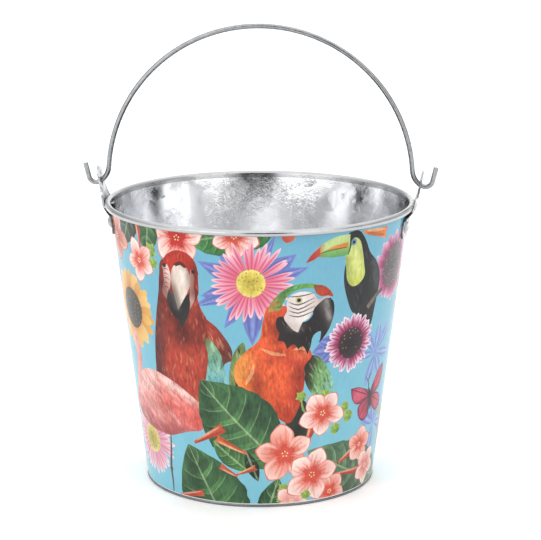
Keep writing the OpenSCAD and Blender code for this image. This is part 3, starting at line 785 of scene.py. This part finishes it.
def design():
    lily(3, 150, BLUE, [
        (-74, 37, 10, 3), (-96, 34, 11, -6), (-140, 34, 9, -5), (-122, 42, 7, 6), (178, 40, 12, 2),
        (52, 33, 12, 2), (24, 36, 5, 0), (70, 36, 9, 3), (-52, 28, 8, 2),
    ])
    lily(60, 104, BLUE, [(-100, 20, 12, 2), (-70, 17, 9, 0), (-128, 18, 9, 1)])
    lily(94, 88, FAINT_BLUE, [
        (-40, 26, 9, 3), (10, 22, 9, 2), (58, 28, 8, -2), (105, 26, 8, 2), (150, 22, 9, 3),
        (205, 24, 9, 1), (-85, 24, 7, 2),
    ])
    lily(98, 36, FAINT_BLUE, [
        (-60, 28, 10, 3), (-15, 18, 9, 2), (40, 24, 9, 0), (110, 26, 9, 2), (200, 22, 9, 0),
    ])
    lily(-128, 120, BLUE, [
        (-30, 26, 9, 3), (30, 24, 9, 2), (80, 24, 8, -2), (150, 28, 9, 2), (215, 26, 9, 3), (265, 22, 9, 1),
    ])
    leaf((-100, 158), (-82, 196), 11, "#3E5644", "#262E2A", pairs=4, seed=1)
    leaf((-72, 158), (-68, 196), 9, *GREEN, pairs=4, seed=2)
    leaf((-38, 175), (4, 186), 12, *FRESH_GREEN, pairs=5, seed=3)
    leaf((-6, 172), (20, 192), 7, *FRESH_GREEN, pairs=3, seed=4)
    leaf((-134, 150), (-150, 100), 13, *GREEN, pairs=6, seed=5)
    leaf((-128, 8), (-114, 62), 14, *GREEN, pairs=6, seed=6)
    bud(-78, 162, 8, 22, 6, ["#C04E36", "#D0604A"])
    berry(-68, 163, 5, 5)
    berry(-66, 155, 4, 6)
    bud(78, 175, -106, 24, 8, ["#D87034", "#E89048"])
    hidden_bud = smooth([(21, 180), (24, 176.5), (28.5, 178), (29.5, 182), (24, 184)])
    ink(SHEET, hidden_bud, ["#C4442E", "#D87050"], (22, 177), (28, 182), grain=0.3)
    blossom(-112, 160, 17, 20, RUSSET, ["#A83C2C", "#B84A38"], 1)
    blossom(-80, 153, 14, 40, PINKISH, THROAT, 2)
    blossom(-46, 176, 18, 0, PINKISH, ["#BC2A22", "#CC3A30"], 3, wide=0.95)
    blossom(-8, 181, 15, 30, PINKISH, THROAT, 4)
    blossom(137, 112, 11, 10, PINKISH, THROAT, 14)
    blossom(-122, 84, 14, -10, CORAL, THROAT, 15)
    daisy(-94, 116, 16, 13.5, 16, 6.6, GOLD, ["#2C2A26", "#3A382E", "#4C4434"], 51)
    daisy(113, 142, 18, 15, 13, 4.6, PLUM, ["#464044", "#565054", "#6A4A58"], 52)
    pink = len(printed)
    daisy(2, 151, 17, 9, 21, 3.5, ["#D85878", "#E88CA2", "#F6C6CE"], ["#8E8A34", "#C4B246", "#E8DC78"], 53,
          streak="#C43A66")
    spray(pink, (2, 151), (2, 151), 15, "#E8C45A", 0.35)
    toucan()
    daisy(69, 103, 19, 10.5, 12, 3.9, PLUM_AND_WHITE, ["#1E181A", "#2C2224", "#4A2C38"], 54, streak="#7A1840")
    red_macaw()
    orange_macaw()
    daisy(-78, 30, 17, 9.5, 18, 4.0, ["#DC96AA", "#EAB4C0", "#F6DCE2"], ["#A0923C", "#C0AE52", "#DCD080"], 55,
          streak="#C86A8C")
    flamingo()
    butterfly()
    leaf((37, 36), (116, -10), 20, *GREY_GREEN, bend=3, seed=8)
    shaded = len(printed)
    leaf((-32, 84), (24, 24), 24, *GREEN, pairs=6, seed=9)
    spray(shaded, (-30, 80), (-26, 62), 9, "#1E3424", 0.6)
    spray(shaded, (0, 66), (18, 50), 10, "#223A28", 0.6)
    spray(shaded, (-14, 62), (2, 44), 8, "#6A9A5C", 0.4)
    shaded = len(printed)
    leaf((-42, 38), (-4, -36), 23, *GREEN, pairs=6, seed=10)
    spray(shaded, (-40, 30), (-36, 8), 9, "#1E3424", 0.6)
    spray(shaded, (-30, 20), (-14, -4), 9, "#6A9A5C", 0.35)
    leaf((18, 20), (6, -18), 8, "#3E6A40", "#20362A", pairs=4, seed=11)
    leaf((-24, 44), (0, 24), 7, "#4C7C42", "#2A4630", pairs=3, seed=12)
    leaf((5, 18), (-3, 40), 4, "#2E3E30", "#1C241E", pairs=3, seed=13)
    bud(-37, 40, -56, 25, 6.5, ["#CC6038", "#B44030"])
    bud(-2, 37, 65, 22, 5.5, ["#D87C42", "#C45034"])
    bud(-8, 21, 62, 13, 4.5, ["#C4503A", "#D07048"])
    bud(-9, 22, -66, 14, 4.0, ["#D07848", "#B85030"])
    bud(-50, 0, -72, 20, 4.6, ["#BC4834", "#D06446"])
    bud(36, 41, -22, 14, 7.0, ["#C8503A", "#B84232"])
    bud(60, 22, -70, 20, 6.5, ["#D46648", "#C44E38"])
    bud(56, 15, -102, 28, 5.5, ["#D06042", "#B84434"])
    for x, y, r in (
        (33, 74, 3.6), (49, 72.5, 3.8), (64.5, 60, 3.8), (67.5, 53, 4.4), (57, 47, 4.0),
        (21, 12, 3.8), (20, 4, 3.4), (110, 40, 4.0),
    ):
        berry(x, y, r, int(x * 3 + y))
    sliver(SHEET, [(33, 71), (34, 65), (38, 59)], 1.6, ["#98AC5E", "#6C8448"])
    blossom(80, 28, 12, 15, CORAL, THROAT, 5, wide=0.9)
    blossom(89, 9, 13, 40, PINKISH, ["#D87C72", "#E89A90"], 6, wide=0.85)
    blossom(47.5, 60, 16, 42, PINKISH, THROAT, 7, wide=0.85)
    blossom(22, 36, 19, -4, CORAL, THROAT, 8, wide=0.8)
    blossom(53, 4, 13, 40, CORAL, THROAT, 9, wide=0.9)
    blossom(26, 3, 11, 20, PINKISH, ["#E4A49A", "#ECB8AE"], 10, wide=0.9)
    blossom(40, 19, 18, 20, PINKISH, THROAT, 11, wide=0.82)
    berry(35.5, 6, 3.4, 12)


# ---- the print, rolled ----

def roll(at, turn):
    """The same places a part turn further round the wall."""
    at = np.array([p[:2] for p in at] if isinstance(at, list) else at)
    a = math.radians(turn) * math.sin(SLOPE)
    x, y = at[..., 0], at[..., 1] + APEX
    return np.stack([x * math.cos(a) + y * math.sin(a), y * math.cos(a) - x * math.sin(a) - APEX], -1)


def bearing_of(p):
    return math.degrees(math.atan2(p[0], p[1] + APEX) / math.sin(SLOPE))


def flat_at(bearing, up):
    """The flat place of a bearing from the front, in degrees, and a distance up the slant."""
    a = math.radians(bearing) * math.sin(SLOPE)
    return ((APEX + up) * math.sin(a), (APEX + up) * math.cos(a) - APEX)


def over_the_edge():
    """The outline of every printed shape, with the shape's number and a turn. A shape that crosses an
    end of the panel is printed again a panel further round."""
    out = []
    for k, shape in enumerate(printed):
        outline = shape[0]
        out.append((k, 0, outline))
        bearings = [bearing_of(p) for p in outline]
        for crosses, turn in ((max(bearings) > PANEL_HALF, -2 * PANEL_HALF),
                              (min(bearings) < -PANEL_HALF, 2 * PANEL_HALF)):
            if crosses:
                out.append((k, turn, [tuple(p) for p in roll(outline, turn)]))
    return out


def strip_fence(low, high):
    """The outline of a strip of the panel between two bearings."""
    ups = [PRINT_LOW + (PRINT_HIGH - PRINT_LOW) * i / FENCE_UP for i in range(FENCE_UP + 1)]
    turns = [low + (high - low) * i / FENCE_ALONG for i in range(FENCE_ALONG + 1)]
    return (
        [flat_at(t, PRINT_LOW) for t in turns[:-1]] + [flat_at(high, up) for up in ups[:-1]]
        + [flat_at(t, PRINT_HIGH) for t in turns[:0:-1]] + [flat_at(low, up) for up in ups[:0:-1]]
    )


def inked(shape, at):
    """The ink and grain of one shape, by its number, at an array of places."""
    _, inks, start, goal, grain, _ = printed[shape]
    away = at - np.array(start)
    if isinstance(goal, float):
        t = np.linalg.norm(away, axis=-1) / goal
    else:
        run = np.array(goal) - np.array(start)
        t = away @ run / (run @ run)
    steps = np.linspace(0, 1, len(inks))
    mixed = np.stack([np.interp(t, steps, [i[k] for i in inks]) for k in range(3)], -1)
    for first, last, a, b, r, colour, strength in sprayed:
        if first <= shape < last:
            run = b - a
            t = np.clip((at - a) @ run / max(run @ run, MITRE), 0, 1)
            near = np.clip(1 - np.linalg.norm(at - a - t[..., None] * run, axis=-1) / r, 0, 1)
            share = strength * near * near * (3 - 2 * near)
            mixed += (colour - mixed) * share[..., None]
    return np.concatenate([mixed, np.full(t.shape + (1,), grain)], -1)


def grid_points(low, high):
    """Points between two bearings that keep the triangles small enough to follow the wall's curve."""
    points = []
    up = PRINT_LOW + GRID_STEP / 2
    row = 0
    while up < PRINT_HIGH - GRID_STEP / 2:
        count = round((high - low) * math.radians(1) * (APEX + up) * math.sin(SLOPE) / GRID_STEP)
        for i in range(count):
            shift = 0.25 + 0.5 * (row % 2)
            points.append(Vector(flat_at(low + (high - low) * (i + shift) / count, up)))
        up += GRID_STEP * ROW_SHARE
        row += 1
    return points


def ink_corners(near, flat, triangles):
    """The ink at each triangle's corners: that of the last opaque shape over it, under later glazes."""
    middles = flat[triangles].mean(1)
    owner = np.full(len(triangles), -1)
    glazed = np.zeros((len(triangles), 1, 4))
    for n, (shape, _, outline) in enumerate(near):
        box = np.array(outline)
        boxed = np.flatnonzero((middles >= box.min(0)).all(1) & (middles <= box.max(0)).all(1))
        hit = boxed[under_outline(outline, middles[boxed])]
        cover = printed[shape][-1]
        if cover == 1:
            owner[hit] = n
            glazed[hit] = 0
        else:
            glazed[hit] += (np.array(printed[shape][1][0] + [1]) - glazed[hit]) * cover
    inks = np.zeros((len(triangles), 3, 4))
    for n in np.unique(owner):
        mine = owner == n
        shape, turn, _ = near[n]
        inks[mine] = inked(shape, roll(flat[triangles[mine]], -turn))
    inks[..., :3] = inks[..., :3] * (1 - glazed[..., 3:]) + glazed[..., :3]
    return inks


def cut_strip(shapes, low, high):
    """Cuts the design between two bearings into triangles along every outline. Returns the corners'
    flat places, the triangles and the ink at each of their corners."""
    fence = strip_fence(low, high)
    points = [Vector(p) for p in fence]
    edges = [(i, (i + 1) % len(fence)) for i in range(len(fence))]
    near = []
    for shape, turn, outline in shapes:
        bearings = [bearing_of(p) for p in outline]
        if max(bearings) < low - STRIP_SPARE or min(bearings) > high + STRIP_SPARE:
            continue
        near.append((shape, turn, outline))
        kept = [low - STRIP_SPARE < b < high + STRIP_SPARE for b in bearings]
        first = len(points)
        points += [Vector(p) for p in outline]
        for i in range(len(outline)):
            j = (i + 1) % len(outline)
            if kept[i] or kept[j]:
                edges.append((first + i, first + j))
    points += grid_points(low, high)
    flat, _, triangles, _, _, _ = geometry.delaunay_2d_cdt(points, edges, [], 0, MITRE, False)
    flat = np.array([tuple(p) for p in flat])
    triangles = np.array([list(t) for t in triangles])
    middles = flat[triangles].mean(1)
    one, two = (flat[triangles[:, k]] - flat[triangles[:, 0]] for k in (1, 2))
    upright = one[:, 0] * two[:, 1] > one[:, 1] * two[:, 0]
    triangles = triangles[under_outline(fence, middles) & upright]
    return flat, triangles, ink_corners(near, flat, triangles)


FILM_UNDER = 0.005      # the coat's inner and outer faces, out from the sheet
FILM_PROUD = 0.045
WELD = 0.0005           # how near corners of neighbouring strips are the same corner
RIM_SLACK = 0.1         # how near the print's lower or upper edge counts as on it
UV_SPAN = 400.0         # the flat millimetres that one side of the texture covers
UV_LOW = 0.05           # where the design's foot lies in the texture, and where its repeat lies above it
UV_REPEAT = 0.5
GROUND_HALF = 200       # the blue ground under the design, wider and higher than what shows of it
GROUND_LOW = -60


def square_out(co):
    """The wall's outward normal beside a place."""
    return Vector((co.x, co.y, 0)).normalized() * math.cos(SLOPE) - Vector((0, 0, math.sin(SLOPE)))


def lace(mesh, low, high):
    """The coat's inner face: triangles between its lower and upper rings, straight up the wall."""
    rings = []
    for verts in (low, high):
        ordered = sorted((math.atan2(v.co.y, v.co.x), i) for i, v in enumerate(verts))
        rings.append([(turn, verts[i]) for turn, i in ordered])
        rings[-1].append((rings[-1][0][0] + 2 * math.pi, rings[-1][0][1]))
    (low, high), i, j = rings, 0, 0
    while i < len(low) - 1 or j < len(high) - 1:
        if j == len(high) - 1 or (i < len(low) - 1 and low[i + 1][0] < high[j + 1][0]):
            mesh.faces.new((low[i + 1][1], low[i][1], high[j][1]))
            i += 1
        else:
            mesh.faces.new((low[i][1], high[j][1], high[j + 1][1]))
            j += 1


def lay_strip(mesh, flat, triangles, inks):
    """Lays a cut strip on the front of the wall, and again half a turn round."""
    colours = mesh.loops.layers.float_color["print_ink"]
    uvs = mesh.loops.layers.uv["OFBake"]
    for turn, shelf in ((1, 0), (-1, UV_REPEAT)):
        corners = []
        for p in flat:
            place = on_cone(p, FILM_PROUD) * MM
            corners.append(mesh.verts.new((turn * place.x, turn * place.y, place.z)))
        for triangle, shades in zip(triangles, inks):
            face = mesh.faces.new([corners[k] for k in triangle])
            face.smooth = True
            for loop, k, shade in zip(face.loops, triangle, shades):
                loop[colours] = (*(linear(c) for c in shade[:3]), shade[3])
                loop[uvs].uv = (flat[k][0] / UV_SPAN + 0.5, flat[k][1] / UV_SPAN + UV_LOW + shelf)


def close_gaps(mesh):
    """Fills the slits left between strips. Returns the edges of the print's lower and upper rims."""
    colours = mesh.loops.layers.float_color["print_ink"]
    uvs = mesh.loops.layers.uv["OFBake"]
    rims, gaps = [], []
    for e in [e for e in mesh.edges if e.is_boundary]:
        level = sum(v.co.z for v in e.verts) / 2 / MM / math.cos(SLOPE)
        if min(abs(level - PRINT_LOW), abs(level - PRINT_HIGH)) < RIM_SLACK:
            rims.append(e)
        else:
            gaps.append(e)
    for face in bmesh.ops.holes_fill(mesh, edges=gaps, sides=4)["faces"]:
        face.smooth = True
        face.normal_update()
        if face.normal.dot(square_out(face.verts[0].co)) < 0:
            face.normal_flip()
        for loop in face.loops:
            beside = next(other for other in loop.vert.link_loops if other.face != face)
            loop[colours] = beside[colours]
            loop[uvs].uv = beside[uvs].uv
    return rims


def line_inside(mesh, rims):
    """Closes the coat with its inner face, and returns that face's corners."""
    made = bmesh.ops.extrude_edge_only(mesh, edges=rims)["geom"]
    inner = [v for v in made if isinstance(v, bmesh.types.BMVert)]
    for v in inner:
        v.co -= square_out(v.co) * (FILM_PROUD - FILM_UNDER) * MM
    half_way = (PRINT_LOW + PRINT_HIGH) / 2 * MM
    lace(mesh, [v for v in inner if v.co.z < half_way], [v for v in inner if v.co.z > half_way])
    return inner


def print_film():
    """The printed coat on the wall's outer face: the flat design is cut in triangles and rolled on the
    cone twice round. It is drawn by its outlines, because no primitive holds such a pattern."""
    ground = [(-GROUND_HALF, GROUND_LOW, 0), (GROUND_HALF, GROUND_LOW, 0), (GROUND_HALF, GROUND_HALF, 0),
              (-GROUND_HALF, GROUND_HALF, 0)]
    ink(SHEET, ground, ["#70B0C8", "#80C4D6"], (0, 180), (0, 0), grain=0.12)
    design()
    shapes = over_the_edge()
    mesh = bmesh.new()
    mesh.loops.layers.float_color.new("print_ink")
    mesh.loops.layers.uv.new("OFBake")
    width = 2 * PANEL_HALF / STRIPS
    for i in range(STRIPS):
        low = -PANEL_HALF + width * i
        lay_strip(mesh, *cut_strip(shapes, low, low + width))
    bmesh.ops.delete(mesh, geom=[v for v in mesh.verts if not v.link_faces], context="VERTS")
    bmesh.ops.remove_doubles(mesh, verts=mesh.verts, dist=WELD * MM)
    bmesh.ops.dissolve_degenerate(mesh, edges=mesh.edges, dist=WELD * MM)
    inner = line_inside(mesh, close_gaps(mesh))
    mesh.verts.index_update()
    lining = {v.index for v in inner}
    data = bpy.data.meshes.new("printed_coat")
    mesh.to_mesh(data)
    mesh.free()
    made = bpy.data.objects.new("printed_coat", data)
    bpy.context.scene.collection.objects.link(made)
    facing = [square_out(v.co) * (-1 if v.index in lining else 1) for v in data.vertices]
    data.normals_split_custom_set_from_vertices(facing)
    return made


film = print_film()
use_material(film, printed_lacquer())
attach(film, "bucket")

# Hot-dip galvanised sheet, rolled. Its crystals are wide and almost level, so it mirrors the room in
# bands. The curl carries painted shade and is a little rougher.
spangled_sheet = galvanised("spangled_sheet", 9.0, "#EEEFF1", 0.10, (0.05, 0.12), 0.03, rolled=True,
                            edge="curl", edge_light=0.58)
# The same sheet pressed into the floor, a little less glossy. The bead clinched round the foot carries
# painted shade and is a little rougher.
spangled_base = galvanised("spangled_base", 10.0, "#DCDEE0", 0.16, (0.12, 0.26), 0.05,
                           edge="bead", edge_light=0.3)
# Thicker galvanised strip, punched into ears. Its small crystals each catch the light their own way,
# and below the rim its cut edges carry a painted shadow and are a little rougher.
punched_zinc = galvanised("punched_zinc", 4.0, "#D2D4D6", 0.50, (0.14, 0.30), 0.30,
                          edge="sheared", edge_light=0.2)
# Galvanised rivets, with the same small crystals as the ears.
dull_zinc = galvanised("dull_zinc", 4.0, "#D2D4D6", 0.50, (0.14, 0.30), 0.30)
# Drawn and galvanised wire: greyer, with fine crystals that leave one long highlight.
zinc_wire = galvanised("zinc_wire", 2.5, "#A2A4A6", 0.22, (0.14, 0.26), 0.05)
use_material(nodes["bucket_wall"], spangled_sheet)
use_material(nodes["base_disc"], spangled_base)
use_material(nodes["bail"], zinc_wire)
for name in nodes:
    if "rivet" in name:
        use_material(nodes[name], dull_zinc)
    elif "ear" in name:
        use_material(nodes[name], punched_zinc)

# ---- studio ----
FLOOR_SIZE_M = 14.0
FLOOR_GLOW = 0.1        # the paper's own light, which keeps it white round the foot
CEILING = 1.5           # brightness of the room overhead
CEILING_FROM = 0.35     # how steeply up the walls start to give way to the ceiling, and where they end
CEILING_FULL = 0.85
# Brightness round the room, by bearing in degrees: 0 is -X, 90 is behind the camera, 180 is +X and
# 270 is behind the bucket
ROOM_BANDS = (
    (0, 0.9), (18, 1.0), (28, 1.2), (35, 2.0), (69, 2.0), (78, 1.4), (85, 0.05), (108, 0.05), (117, 0.7),
    (125, 1.7), (148, 1.7), (158, 0.9), (168, 0.6), (215, 0.7), (240, 0.9), (256, 1.3), (280, 1.3),
    (296, 0.8), (312, 0.6), (335, 0.65), (360, 0.9),
)


def studio_floor():
    """A flat sheet of matt white paper, level under the bucket."""
    bpy.ops.object.select_all(action="DESELECT")
    bpy.ops.mesh.primitive_plane_add(size=FLOOR_SIZE_M, location=(0, 0, 0))
    floor = bpy.context.object
    floor.name = "studio_floor"
    made, _, shader = material("matt_white_paper")
    shader.inputs["Base Color"].default_value = srgb("#FAFAFA")
    shader.inputs["Roughness"].default_value = 0.9
    shader.inputs["Emission Color"].default_value = srgb("#FFFFFF")
    shader.inputs["Emission Strength"].default_value = FLOOR_GLOW
    use_material(floor, made)


def grey(level):
    return (level, level, level, 1)


def room_bands(tree, place):
    """The room's brightness at each bearing."""
    bearing = add_node(tree, "ShaderNodeTexGradient", {"Vector": place}, gradient_type="RADIAL")
    bands = add_node(tree, "ShaderNodeValToRGB", {"Fac": bearing.outputs["Fac"]})
    stops = bands.color_ramp.elements
    stops.remove(stops[1])
    for turn, level in ROOM_BANDS[1:]:
        stops.new(turn / 360).color = grey(level)
    stops[0].color = grey(ROOM_BANDS[0][1])
    return bands.outputs["Color"]


def studio_world():
    """A white room: bright behind and at the sides and dark behind the camera, in softer and harder
    bands round the horizon that the bare metal mirrors. The camera itself sees plain white."""
    world = bpy.data.worlds.new("white_studio")
    bpy.context.scene.world = world
    world.use_nodes = True
    tree = world.node_tree
    plain = tree.nodes["Background"]
    plain.inputs["Color"].default_value = grey(1)
    place = add_node(tree, "ShaderNodeTexCoord", {}).outputs["Generated"]
    height = add_node(tree, "ShaderNodeSeparateXYZ", {"Vector": place}).outputs["Z"]
    high = add_node(tree, "ShaderNodeMapRange", {
        "Value": height, "From Min": CEILING_FROM, "From Max": CEILING_FULL}, interpolation_type="SMOOTHSTEP")
    room = add_node(tree, "ShaderNodeMix", {
        "Factor": high.outputs[0], 6: room_bands(tree, place), 7: grey(CEILING)}, data_type="RGBA")
    mirrored = add_node(tree, "ShaderNodeBackground", {"Color": room.outputs[2]})
    seen = add_node(tree, "ShaderNodeLightPath", {}).outputs["Is Camera Ray"]
    pick = add_node(tree, "ShaderNodeMixShader", {
        "Fac": seen, 1: mirrored.outputs[0], 2: plain.outputs[0]})
    tree.links.new(pick.outputs[0], tree.nodes["World Output"].inputs["Surface"])


# ---- camera ----
CAMERA_PIVOT_M = 0.09       # a point inside the bucket, this high above the floor
CAMERA_AWAY_M = 1.4988      # from that point
CAMERA_SIDE = math.radians(4.7)     # how far round to +X it stands
CAMERA_RISE = math.radians(14.87)   # how far up
CAMERA_TILT = math.radians(13.13)   # how far down it looks
CAMERA_PAN = math.radians(4.43)     # how far back towards -X it is turned
CAMERA_LENS = 152.3
CAMERA_SENSOR = 36.0


def camera():
    lens = bpy.data.cameras.new("camera")
    lens.lens = CAMERA_LENS
    lens.sensor_width = CAMERA_SENSOR
    seat = bpy.data.objects.new("camera", lens)
    bpy.context.scene.collection.objects.link(seat)
    level = CAMERA_AWAY_M * math.cos(CAMERA_RISE)
    seat.location = (
        level * math.sin(CAMERA_SIDE),
        -level * math.cos(CAMERA_SIDE),
        CAMERA_PIVOT_M + CAMERA_AWAY_M * math.sin(CAMERA_RISE),
    )
    seat.rotation_euler = Euler((math.pi / 2 - CAMERA_TILT, 0, CAMERA_PAN))
    bpy.context.scene.camera = seat


studio_floor()
studio_world()
camera()
bpy.context.scene.view_settings.view_transform = "Standard"
